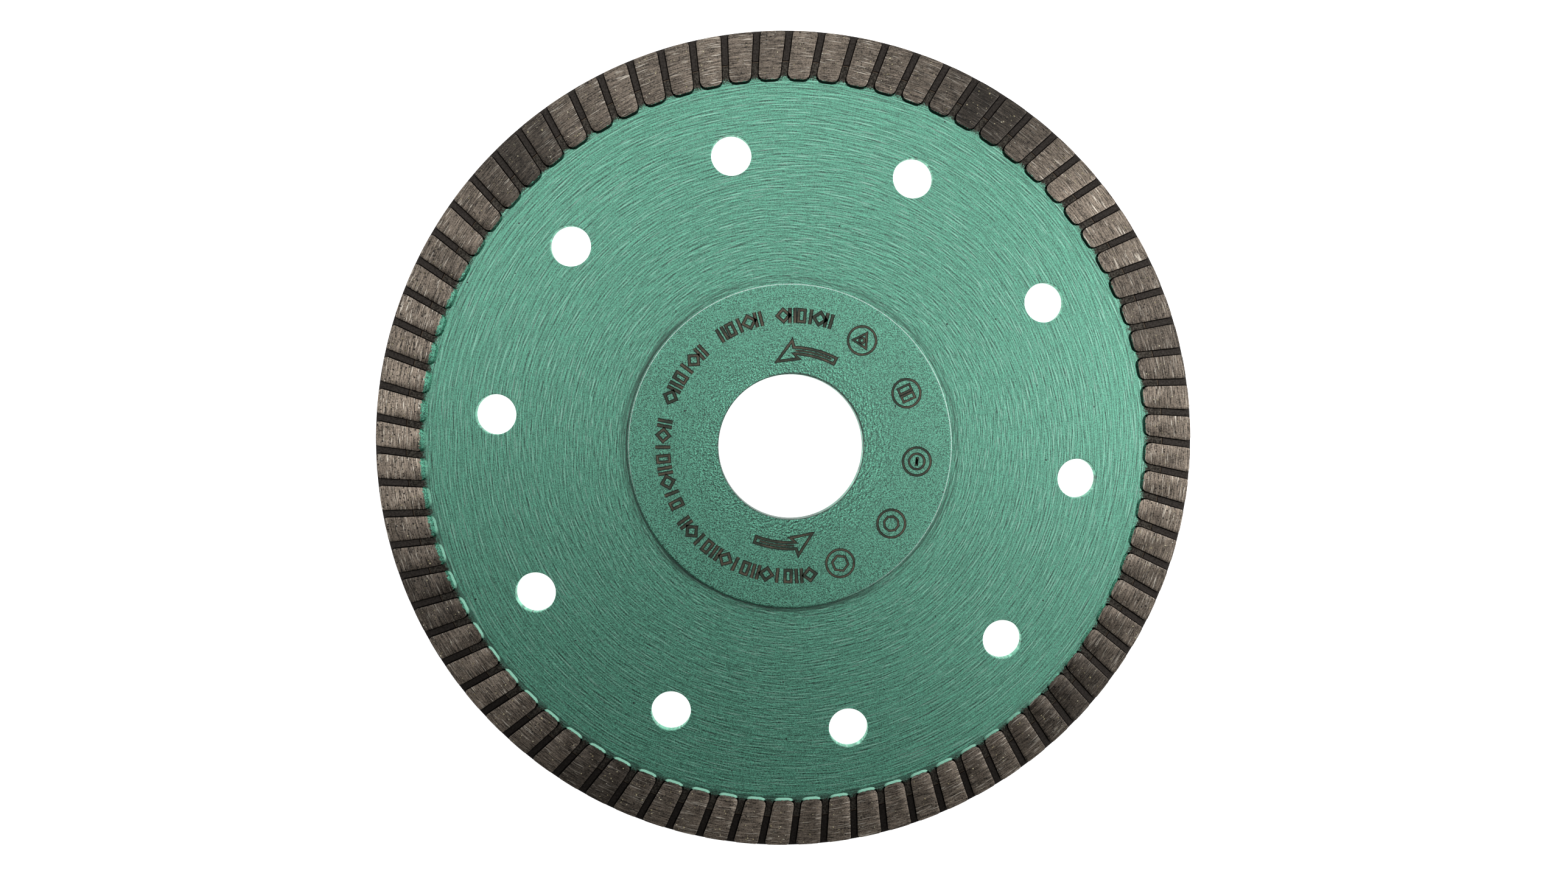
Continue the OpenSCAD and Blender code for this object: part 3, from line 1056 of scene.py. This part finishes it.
def build():
    """All the pieces, in the order of the random draws."""
    rng = np.random.default_rng(11)
    crystals = 3000
    groups = shared_groups()
    hub_paint = painted_hub(groups)

    core = piece("core_disc", *core_shape(), painted_core(groups))
    own(core, "steel_core")
    front = hub_shape()
    own(piece("front_hub", *front, hub_paint), "front_hub_plate")
    own(piece("rear_hub", *mirrored(*front), hub_paint), "rear_hub_plate")

    (points, faces), tones = rim_shape(rng)
    rim = piece("sintered_rim", points, faces, sintered_rim(groups), rib_tone=tones)
    own(rim, "turbo_rim")
    grit = piece("diamond_crystals", *grit_shape(rng, crystals), diamond(), smooth_under=0)
    own(grit, "diamond_grit")

    points, faces, stroke = markings_shape()
    marks = piece("front_markings", points, faces, etched_marks(), smooth_under=0, stroke=stroke)
    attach(marks, "root")

    nuggets = frame["nodes"]["hub_weld_nuggets"]
    nuggets.data.materials.clear()
    nuggets.data.materials.append(weld_steel())


# ---------------------------------------------------------------- table, light and camera

def table():
    """A wide flat table just under the rear hub plate."""
    half = 1500.0
    corners = np.array([(-half, -half), (half, -half), (half, half), (-half, half)])
    points = np.c_[corners, np.full(4, -HUB_Z - TABLE_GAP)]
    floor = piece("table", points, [np.array([[0, 1, 2, 3]])], white_table(), smooth_under=0)


def soft_light(name, degrees, elevation, size, power):
    """A square soft light, from a direction round the blade, that faces the bore."""
    distance = 330
    data = bpy.data.lights.new(name, "AREA")
    data.size = size * MM
    data.energy = power
    lamp = bpy.data.objects.new(name, data)
    bpy.context.scene.collection.objects.link(lamp)
    a, e = radians(degrees), radians(elevation)
    away = Vector((cos(a) * cos(e), sin(a) * cos(e), sin(e)))
    lamp.location = away * distance * MM
    lamp.rotation_euler = away.to_track_quat("Z", "Y").to_euler()


def studio():
    """Soft studio light: windows low on the right and top, weaker lights from the other sides.

    Each light has a direction round the blade, an elevation, a width and a power in watts. The room
    looks pale past the table's edge but lights the blade only a little.
    """
    lights = (
        ("right_window", 10, 35, 200, 0.37),
        ("upper_right", 58, 48, 200, 0.17),
        ("top_window", 100, 35, 200, 0.235),
        ("upper_left", 150, 50, 200, 0.19),
        ("left", 190, 55, 200, 0.05),
        ("lower_right", 330, 50, 200, 0.10),
        ("top_overhead", 100, 75, 150, 0.053),
        ("right_overhead", 10, 75, 150, 0.06),
    )
    for light in lights:
        soft_light(*light)

    room_glow, backdrop = 0.02, 0.9
    world = bpy.data.worlds.new("room")
    world.use_nodes = True
    background = world.node_tree.nodes["Background"].inputs
    background["Color"].default_value = (0.95, 0.97, 1.0, 1)
    w = Wiring(world.node_tree)
    seen = w.add("ShaderNodeLightPath").outputs["Is Camera Ray"]
    w.feed(background["Strength"], w.math("MULTIPLY_ADD", seen, backdrop, room_glow))
    bpy.context.scene.world = world
    bpy.context.scene.view_settings.view_transform = "Standard"


def camera():
    """A short lens close above the blade, a little left of and above the bore, with +Y upwards."""
    data = bpy.data.cameras.new("camera")
    data.lens, data.sensor_width = 20.26, 36.0
    data.clip_start, data.clip_end = 0.005, 20.0
    cam = bpy.data.objects.new("camera", data)
    bpy.context.scene.collection.objects.link(cam)
    place, aim = Vector((-6.75, 7.46, 135.55)), Vector((-1.04, 0.86, 0.0))
    back = (place - aim).normalized()
    up = back.cross(Vector((1, 0, 0))).normalized()
    right = up.cross(back)
    turn = Matrix((right, up, back)).transposed().to_4x4()
    cam.matrix_world = Matrix.Translation(place * MM) @ turn
    bpy.context.scene.camera = cam


build()
table()
studio()
camera()
